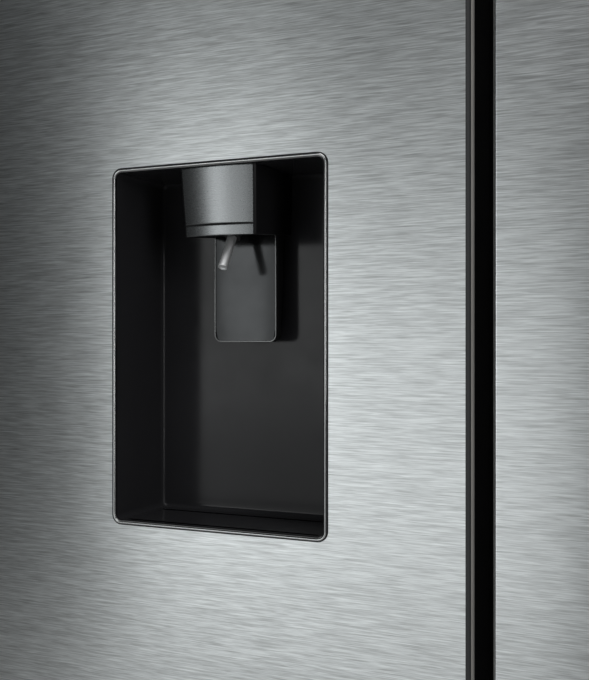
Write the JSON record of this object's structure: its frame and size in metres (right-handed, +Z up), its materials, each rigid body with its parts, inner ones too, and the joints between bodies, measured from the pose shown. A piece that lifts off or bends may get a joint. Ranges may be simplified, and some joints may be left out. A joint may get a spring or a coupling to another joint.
{
  "type": "side by side refrigerator",
  "caption": "Two-door refrigerator freezer with a water and ice dispenser recessed in the brushed steel freezer door, shelves, drawers and door bins inside.",
  "frame": {"origin": "on the floor under the middle of the whole refrigerator's bounding box", "axes": "+Z up, the doors face -Y, +X to the right seen from the front"},
  "size_m": [0.912, 0.716, 1.78],
  "materials": {
    "brushed_steel": "brushed",
    "painted_steel": "satin",
    "galvanised": "satin",
    "black_steel": "satin",
    "insulation": "matte",
    "white_plastic": "gloss",
    "grey_plastic": "matte",
    "dark_plastic": "matte",
    "black_gloss": "gloss",
    "seal_rubber": "matte",
    "clear_shelf": "clear",
    "clear_bin": "clear",
    "aluminium": "satin",
    "chrome": "polished",
    "zinc": "satin"
  },
  "bodies": {
    "cabinet": {"cabinet_shell": "painted_steel", "back_panel": "galvanised", "base_pan": "galvanised", "cabinet_insulation": "insulation", "freezer_liner": "white_plastic", "fridge_liner": "white_plastic", "toe_grille": "dark_plastic", "machine_cover": "galvanised", "compressor": "black_steel", "condenser": "black_steel", "fan_shroud": "dark_plastic", "evaporator": "aluminium", "evaporator_cover": "white_plastic", "air_duct_cover": "white_plastic", "control_panel": "black_gloss", "top_hinges": "zinc", "bottom_hinges": "zinc", "top_cover": "grey_plastic", "shelf_frames": "white_plastic", "shelf_panes": "clear_shelf", "water_valve": "dark_plastic", "power_inlet": "dark_plastic", "ice_maker": "grey_plastic", "ice_bucket": "clear_bin"},
    "freezer_door": {"freezer_door_skin": "brushed_steel", "freezer_door_foam": "insulation", "freezer_door_liner": "white_plastic", "freezer_door_caps": "dark_plastic", "freezer_door_gasket": "seal_rubber", "freezer_door_trim": "dark_plastic", "freezer_door_bins": "clear_bin", "dispenser_bezel": "black_gloss", "dispenser_recess": "black_gloss", "spout_housing": "dark_plastic", "spout_face": "brushed_steel", "spout_band": "brushed_steel", "water_nozzle": "chrome", "ice_chute": "white_plastic"},
    "fridge_door": {"fridge_door_skin": "brushed_steel", "fridge_door_foam": "insulation", "fridge_door_liner": "white_plastic", "fridge_door_caps": "dark_plastic", "fridge_door_gasket": "seal_rubber", "fridge_door_trim": "dark_plastic", "fridge_door_bins": "clear_bin"},
    "tray": {"drip_tray": "black_gloss", "drip_grille": "dark_plastic"},
    "condenser_fan": {"condenser_fan": "dark_plastic"},
    "evaporator_fan": {"evaporator_fan": "dark_plastic"},
    "rear_roller_left": {"rear_roller_left": "dark_plastic"},
    "rear_roller_right": {"rear_roller_right": "dark_plastic"},
    "leveling_foot_left": {"leveling_foot_left": "zinc"},
    "leveling_foot_right": {"leveling_foot_right": "zinc"},
    "freezer_drawer_upper": {"freezer_drawer_upper": "clear_bin"},
    "freezer_drawer_lower": {"freezer_drawer_lower": "clear_bin"},
    "crisper_upper": {"crisper_upper": "clear_bin"},
    "crisper_lower": {"crisper_lower": "clear_bin"},
    "ice_auger": {"ice_auger": "aluminium"},
    "chute_flap": {"chute_flap": "dark_plastic"},
    "paddle": {"paddle": "dark_plastic"}
  },
  "joints": [
    {"name": "freezer_door_hinge", "type": "hinge", "parent": "cabinet", "child": "freezer_door", "pos_m": [-0.438, -0.3165, 0.9], "axis": [0, 0, -1], "range_deg": [0, 130]},
    {"name": "fridge_door_hinge", "type": "hinge", "parent": "cabinet", "child": "fridge_door", "pos_m": [0.438, -0.3165, 0.9], "axis": [0, 0, 1], "range_deg": [0, 130]},
    {"name": "paddle_push", "type": "hinge", "parent": "freezer_door", "child": "paddle", "pos_m": [-0.2465, -0.2965, 1.254], "axis": [1, 0, 0], "range_deg": [0, 5], "stiffness_Nm_per_rad": 1, "springref_deg": -5.73},
    {"name": "chute_flap_swing", "type": "hinge", "parent": "freezer_door", "child": "chute_flap", "pos_m": [-0.2465, -0.2955, 1.279], "axis": [1, 0, 0], "range_deg": [0, 40]},
    {"name": "drip_tray_lift", "type": "slide", "parent": "freezer_door", "child": "tray", "axis": [0, 0, 1], "range_m": [0, 0.05]},
    {"name": "condenser_fan_spin", "type": "hinge", "parent": "cabinet", "child": "condenser_fan", "pos_m": [0.016, 0.24, 0.14], "axis": [1, 0, 0], "continuous": true},
    {"name": "evaporator_fan_spin", "type": "hinge", "parent": "cabinet", "child": "evaporator_fan", "pos_m": [-0.23975, 0.238, 0.84], "axis": [0, 1, 0], "continuous": true},
    {"name": "ice_auger_spin", "type": "hinge", "parent": "cabinet", "child": "ice_auger", "pos_m": [-0.2465, -0.02, 1.438], "axis": [0, 1, 0], "continuous": true},
    {"name": "rear_roller_left_spin", "type": "hinge", "parent": "cabinet", "child": "rear_roller_left", "pos_m": [-0.38, 0.27, 0.017], "axis": [1, 0, 0], "continuous": true},
    {"name": "leveling_foot_left_screw", "type": "hinge", "parent": "cabinet", "child": "leveling_foot_left", "pos_m": [-0.395, -0.225, 0.03], "axis": [0, 0, 1], "continuous": true},
    {"name": "rear_roller_right_spin", "type": "hinge", "parent": "cabinet", "child": "rear_roller_right", "pos_m": [0.38, 0.27, 0.017], "axis": [1, 0, 0], "continuous": true},
    {"name": "leveling_foot_right_screw", "type": "hinge", "parent": "cabinet", "child": "leveling_foot_right", "pos_m": [0.395, -0.225, 0.03], "axis": [0, 0, 1], "continuous": true},
    {"name": "freezer_drawer_upper_slide", "type": "slide", "parent": "cabinet", "child": "freezer_drawer_upper", "axis": [0, -1, 0], "range_m": [0, 0.228]},
    {"name": "freezer_drawer_lower_slide", "type": "slide", "parent": "cabinet", "child": "freezer_drawer_lower", "axis": [0, -1, 0], "range_m": [0, 0.228]},
    {"name": "crisper_upper_slide", "type": "slide", "parent": "cabinet", "child": "crisper_upper", "axis": [0, -1, 0], "range_m": [0, 0.228]},
    {"name": "crisper_lower_slide", "type": "slide", "parent": "cabinet", "child": "crisper_lower", "axis": [0, -1, 0], "range_m": [0, 0.228]}
  ],
  "couplings": [
    {"joint": "chute_flap_swing", "follows": "paddle_push", "ratio": 8},
    {"joint": "freezer_drawer_upper_slide", "follows": "freezer_door_hinge", "m_per_rad": 0.1},
    {"joint": "freezer_drawer_lower_slide", "follows": "freezer_door_hinge", "m_per_rad": 0.1},
    {"joint": "crisper_upper_slide", "follows": "fridge_door_hinge", "m_per_rad": 0.1},
    {"joint": "crisper_lower_slide", "follows": "fridge_door_hinge", "m_per_rad": 0.1}
  ]
}
